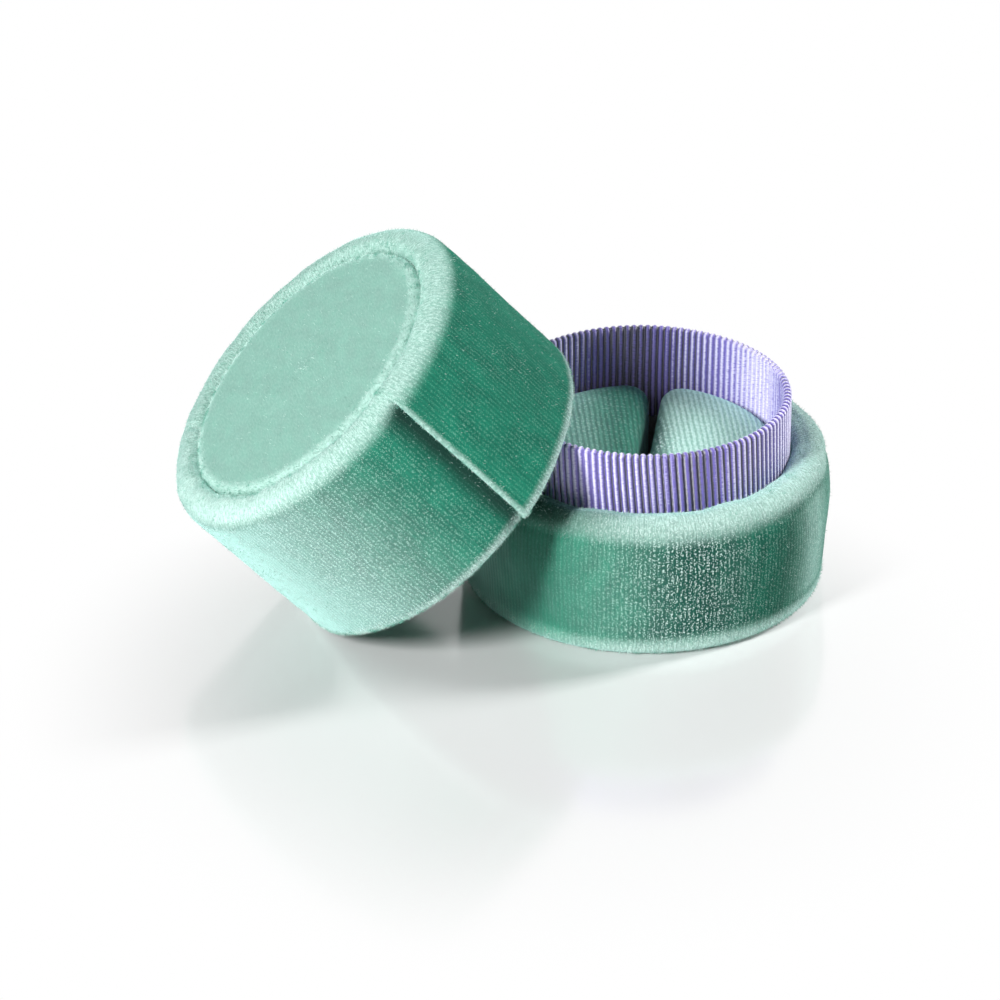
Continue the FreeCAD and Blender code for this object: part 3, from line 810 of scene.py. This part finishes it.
def swollen(name, node):
    """A cover pulled tight over foam: the foam's own form, blown up a little as cloth."""
    mesh = frame["nodes"][node].data.copy()
    mesh.name = name
    mesh.transform(Matrix.Scale(SIM_SCALE, 4))
    piece = new_object(name, mesh)
    voxels = piece.modifiers.new("voxels", "REMESH")
    voxels.mode = "VOXEL"
    voxels.voxel_size = PAD_VOXEL * SIM_SCALE
    keep_result(piece)
    start = vectors_of(piece.data)
    ways = vectors_of(piece.data, "normal")
    cloth = piece.modifiers.new("cloth", "CLOTH")
    cloth.settings.use_pressure = True
    cloth.settings.uniform_pressure_force = PAD_PRESSURE
    cloth.settings.effector_weights.gravity = 0
    for number in range(1, SIM_FRAMES + 1):
        bpy.context.scene.frame_set(number)
    keep_result(piece)
    bpy.context.scene.frame_set(1)
    end = vectors_of(piece.data)
    swell = np.clip(np.sum((end - start) * ways, axis=1), PAD_LEAST * SIM_SCALE, PAD_REACH * SIM_SCALE)
    end = start + swell[:, None] * ways
    piece.data.vertices.foreach_set("co", (end / SIM_SCALE).ravel())
    finer = piece.modifiers.new("finer", "SUBSURF")
    finer.levels = 1
    keep_result(piece)
    piece.data.polygons.foreach_set("use_smooth", [True] * len(piece.data.polygons))
    return piece


def keep_result(piece):
    """Makes the result of an object's modifiers its own mesh."""
    graph = bpy.context.evaluated_depsgraph_get()
    mesh = bpy.data.meshes.new_from_object(piece.evaluated_get(graph))
    piece.modifiers.clear()
    piece.data = mesh


# How much painted sheen each pad gets: less on the left pad, in the lid's shade.
PAD_PAINTED_SHEEN = {"left": 0.44, "right": 1.0}


def ring_pad(side):
    """One velvet ring pad, its pile in rows along the slot, with painted shade beside the slot on the
    left pad, and painted glints with painted shade between them on the right pad's shoulder."""
    piece = swollen(f"pad_{side}", f"pad_foam_{side}")
    mesh = piece.data
    slot = middle("pad_foam_right") - middle("pad_foam_left")
    across = np.array((slot[0], slot[1], 0)) / np.linalg.norm(slot)
    along = np.array((-across[1], across[0], 0))
    points = vectors_of(mesh)
    radius = np.linalg.norm(points[:, :2], axis=1)
    room = BASE.measure("collar_ribbon")[0] - PAD_CLEAR
    points[:, :2] *= np.minimum(1, room / np.maximum(radius, MM))[:, None]
    mesh.vertices.foreach_set("co", points.ravel())
    mesh.update()
    corner = np.empty(len(mesh.loops), dtype=int)
    mesh.loops.foreach_get("vertex_index", corner)
    from_slot = points @ across
    # Painted shade beside the slot on the left pad.
    painted_slot_shade = smooth(9 * MM, 2.5 * MM, np.abs(from_slot)) * (side == "left")
    # The right pad's shoulder: painted glints with painted shade between them, and less painted sheen.
    shoulder = smooth(4.5 * MM, 1.5 * MM, np.abs(from_slot)) * (side == "right")
    frost = PAD_PAINTED_SHEEN[side] * (1 - 0.8 * painted_slot_shade) * (1 - 0.8 * shoulder)
    crease = 0.3 * painted_slot_shade
    uv = np.stack((from_slot, points @ along), axis=1)[corner]
    cloth_values(mesh, uv, frost=frost, crease=crease, glint=0.2 + 0.8 * shoulder)
    return piece


def lid_lining():
    """The sleeve inside the lid, which slides on the collar."""
    inside, outside, low, high = LID.measure("lid_lining")
    section = Section(
        (
            (inside, low, 0.15 * MM),
            (outside, low, 0.1 * MM),
            (outside, high, 0),
            (inside, high, 0),
        ),
        CLOTH_SPACING,
    )
    angles = even_turns(LINING_TURNS)
    inner_face = section.out[:, 0] < -0.5
    lift = inner_face * 0.03 * MM * ripple(60, angles[:, None], section.length[None], 6 * MM, OUTER)
    return turned("lining", LID, section, angles, lift)


def padded_disc(name, half, node, crown, seed):
    """A covered disc with a rounded edge, its lower face a little crowned."""
    _, edge, low, high = half.measure(node)
    rounding = 0.3 * (high - low)
    lower = ((DISC_CORE, low, 0), (edge, low, rounding))
    upper = ((edge, high, rounding), (DISC_CORE, high, 0))
    section = Section(lower + upper, CLOTH_SPACING, closed=False)
    angles = even_turns(DISC_TURNS)
    radius, height = section.points.T
    face = smooth(high, low, height)
    x, y = flat_place(radius, angles)
    lift = face * (crown * (1 - (radius / edge) ** 2) + 0.02 * MM * ripple(seed, x, y, 4 * MM))
    return turned(name, half, section, angles, lift, flat=True)


# Loose fibre ends: how many, the seed of their draw, how far they droop down the axis, and the longest.
BASE_FRINGE = {"count": 14000, "seed": 71, "droop": 0.3, "length": 0.50 * MM}
LID_FRINGE = {"count": 18000, "seed": 73, "droop": 0.3, "length": 0.45 * MM}
PANEL_FRINGE = {"count": 7000, "seed": 77, "droop": 0.0, "length": 0.50 * MM}
FIBRE_STRAY = 0.45
FIBRE_SPREAD = 0.15 * MM
FIBRE_SUNK = 0.05 * MM
FIBRE_WIDTH = 0.035 * MM


def fringe(name, piece, half, count, seed, droop, length):
    """Loose fibre ends on a piece of one half, most where its fuzz is strong, as slim closed spikes."""
    draw = np.random.default_rng(seed)
    mesh = piece.data
    points = vectors_of(mesh)
    fuzz = np.empty(len(points))
    mesh.attributes["fuzz"].data.foreach_get("value", fuzz)
    chosen = draw.choice(len(points), count, p=fuzz / fuzz.sum())
    normal = vectors_of(mesh, "normal")[chosen]
    stray = draw.normal(0, 1, (count, 3))
    stray -= np.sum(stray * normal, axis=1, keepdims=True) * normal
    way = normal - droop * half.axis + FIBRE_STRAY * stray
    way /= np.linalg.norm(way, axis=1, keepdims=True)
    root = points[chosen] + FIBRE_SPREAD * stray - FIBRE_SUNK * normal
    return spikes(name, root, way, length * draw.uniform(0.4, 1.0, count))


def spikes(name, root, way, length):
    """A closed spike on three corners for each root, way and length."""
    helper = np.where(np.abs(way[:, 2:]) < 0.9, (0.0, 0.0, 1.0), (1.0, 0.0, 0.0))
    first = np.cross(way, helper)
    first /= np.linalg.norm(first, axis=1, keepdims=True)
    second = np.cross(way, first)
    ring = []
    for turn in range(3):
        angle = 2 * math.pi * turn / 3
        ring.append(root + FIBRE_WIDTH * (math.cos(angle) * first + math.sin(angle) * second))
    tip = root + way * length[:, None]
    points = np.stack(ring + [tip], axis=1).reshape(-1, 3)
    points[:, 2] = np.maximum(points[:, 2], 0)
    corner = np.array(((0, 1, 3), (1, 2, 3), (2, 0, 3), (0, 2, 1)))
    faces = (corner[None] + 4 * np.arange(len(root))[:, None, None]).reshape(-1, 3)
    mesh = bpy.data.meshes.new(name)
    mesh.from_pydata(points.tolist(), [], faces.tolist())
    mesh.update()
    return new_object(name, mesh)


def build_object():
    """All the pieces that replace nodes, and the loose fibre ends on them."""
    green = velvet("velvet_wrap", nap=NAP_LEAN, matted=0.62)
    ribbed = velvet("velvet_pad", row=PAD_ROW, row_share=3.0, row_gap=0.4, tuft=2.2)
    calm = velvet("velvet_panel", row_share=0, grain=0.4, matted=0.9)
    ends = pile_ends("velvet_fibre_ends")
    wrap = dress(base_velvet(), green, "base", "velvet", "base_velvet_wrap")
    loose = dress(fringe("base_fringe", wrap, BASE, **BASE_FRINGE), ends, "base", "velvet")

    wrap = dress(lid_velvet(), green, "lid", "velvet", "lid_velvet_wrap")
    loose = dress(fringe("lid_fringe", wrap, LID, **LID_FRINGE), ends, "lid", "velvet")

    panel = dress(lid_panel(), calm, "lid", "velvet", "lid_panel_velvet")
    dress(fringe("panel_fringe", panel, LID, **PANEL_FRINGE), ends, "lid", "velvet")

    ribbon = dress(collar_ribbon(), grosgrain("ribbon_lilac"), "base", "ribbon", "collar_ribbon")
    for side in ("right", "left"):
        pad = dress(ring_pad(side), ribbed, "base", "velvet", f"pad_cover_{side}")

    cloth = satin("lining_satin")
    lining = dress(lid_lining(), cloth, "lid", "lining", "lid_lining")
    ceiling = padded_disc("ceiling_pad", LID, "lid_ceiling_pad", crown=0.5 * MM, seed=62)
    dress(ceiling, cloth, "lid", "lining", "lid_ceiling_pad")

    foot = padded_disc("foot_felt", BASE, "base_foot_panel", crown=0, seed=63)
    felt = fibres("felt_green", (0.02, 0.10, 0.06, 1), (0.07, 0.24, 0.16, 1), 0.4 * MM, rough=0.95)
    dress(foot, felt, "base", "foot_felt", "base_foot_panel")
    across = 2 * BASE.measure("base_foot_panel")[1]


def hidden_nodes():
    """Materials for the boards, card, wadding and foam inside."""
    grey = ((0.20, 0.18, 0.15, 1), (0.38, 0.35, 0.30, 1))
    cream = ((0.55, 0.53, 0.48, 1), (0.74, 0.72, 0.68, 1))
    white = ((0.60, 0.60, 0.58, 1), (0.84, 0.84, 0.82, 1))
    yellow = ((0.50, 0.47, 0.38, 1), (0.76, 0.73, 0.62, 1))
    board = fibres("greyboard", *grey, 0.7 * MM, rough=0.9, stretch=0.5)
    card = fibres("white_card", *cream, 0.5 * MM, rough=0.8, stretch=0.5)
    wadding = fibres("wadding", *white, 1.2 * MM, rough=1.0, depth=0.5 * MM)
    foam = fibres("foam", *yellow, 0.6 * MM, rough=0.95, depth=0.3 * MM)
    finishes = {
        "base_tube": board,
        "base_floor": board,
        "pad_riser": board,
        "lid_tube": board,
        "lid_top_board": board,
        "collar_tube": card,
        "lid_panel_card": card,
        "base_wadding": wadding,
        "lid_wadding": wadding,
        "pad_foam_right": foam,
        "pad_foam_left": foam,
        "lid_panel_foam": foam,
    }
    for node, material in finishes.items():
        coat(frame["nodes"][node], material)


# The table is seen to go to white between the near and the far distance from its middle.
FLOOR_SIZE = 6.0
FLOOR_MIDDLE = (-0.024, -0.030, 0)
FLOOR_NEAR = 0.025
FLOOR_FAR = 0.07
WORLD_LIGHT = 0.05


def background_rays(tree):
    """1 for the rays that show the background: the camera's own, and those by way of gloss and glass."""
    path = tree.nodes.new("ShaderNodeLightPath")
    seen = path.outputs["Is Camera Ray"]
    for name in ("Is Glossy Ray", "Is Transmission Ray"):
        either = tree.nodes.new("ShaderNodeMath")
        either.operation = "MAXIMUM"
        tree.links.new(seen, either.inputs[0])
        tree.links.new(path.outputs[name], either.inputs[1])
        seen = either.outputs[0]
    return seen


def floor():
    """A plain white table, a little glossy, which is seen to go to white away from the object."""
    half = FLOOR_SIZE / 2
    mesh = bpy.data.meshes.new("floor")
    corners = [(-half, -half, 0), (half, -half, 0), (half, half, 0), (-half, half, 0)]
    mesh.from_pydata(corners, [], [(0, 1, 2, 3)])
    piece = new_object("floor", mesh)
    nodes = Nodes("table")
    haze = nodes.add("TexNoise", Scale=40.0, Detail=2.0)
    colour = nodes.blend(haze, (0.76, 0.76, 0.76, 1), (0.78, 0.78, 0.78, 1))
    nodes.finish(Base_Color=colour, Roughness=0.14, IOR=2.2)
    place = nodes.add("TexCoord", output=3)
    distance = {"operation": "DISTANCE"}
    away = nodes.add("VectorMath", output=1, settings=distance, i0=place, i1=FLOOR_MIDDLE)
    white = nodes.math("MULTIPLY", nodes.span(away, FLOOR_NEAR, FLOOR_FAR), background_rays(nodes.tree))
    glow = nodes.add("Emission", Color=(1, 1, 1, 1), Strength=1.0)
    mixed = nodes.add("MixShader", i0=white, i1=nodes.shader.outputs[0], i2=glow)
    nodes.fill(nodes.tree.nodes["Material Output"].inputs["Surface"], mixed)
    mesh.materials.append(nodes.material)


def world():
    """White behind the object, and an even, soft light from all round."""
    scene_world = bpy.data.worlds.new("studio")
    bpy.context.scene.world = scene_world
    scene_world.use_nodes = True
    tree = scene_world.node_tree
    background = tree.nodes["Background"]
    strength = tree.nodes.new("ShaderNodeMapRange")
    tree.links.new(background_rays(tree), strength.inputs["Value"])
    strength.inputs["To Min"].default_value = WORLD_LIGHT
    strength.inputs["To Max"].default_value = 1.0
    tree.links.new(strength.outputs["Result"], background.inputs["Strength"])
    background.inputs["Color"].default_value = (1, 1, 1, 1)


# The lamps: degrees round, degrees up, and watts.
LAMPS = {"left": (-147, 32, 12.0), "right": (8, 34, 9.0)}
LAMP_AIM = (-0.01, 0, 0.02)
LAMP_WIDE = 0.16
LAMP_TALL = 0.34


def lamp(name, turn, rise, power):
    """A tall soft light a metre away, at this many degrees round and up, that faces the object."""
    data = bpy.data.lights.new(name, "AREA")
    data.shape = "RECTANGLE"
    data.size = LAMP_WIDE
    data.size_y = LAMP_TALL
    data.energy = power
    piece = new_object(name, data)
    turn = math.radians(turn)
    rise = math.radians(rise)
    away = Vector((math.cos(rise) * math.cos(turn), math.cos(rise) * math.sin(turn), math.sin(rise)))
    piece.location = Vector(LAMP_AIM) + away
    piece.rotation_euler = away.to_track_quat("Z", "Y").to_euler()


def camera():
    """The photograph's camera."""
    data = bpy.data.cameras.new("camera")
    data.lens = CAMERA_LENS
    data.sensor_width = CAMERA_SENSOR
    piece = new_object("camera", data)
    piece.location = CAMERA_PLACE
    view = Vector(CAMERA_AIM) - Vector(CAMERA_PLACE)
    piece.rotation_euler = view.to_track_quat("-Z", "Y").to_euler()
    bpy.context.scene.camera = piece


build_object()
hidden_nodes()
floor()
world()
for lamp_name, lamp_place in LAMPS.items():
    lamp(lamp_name, *lamp_place)
camera()
bpy.context.scene.view_settings.view_transform = "Standard"
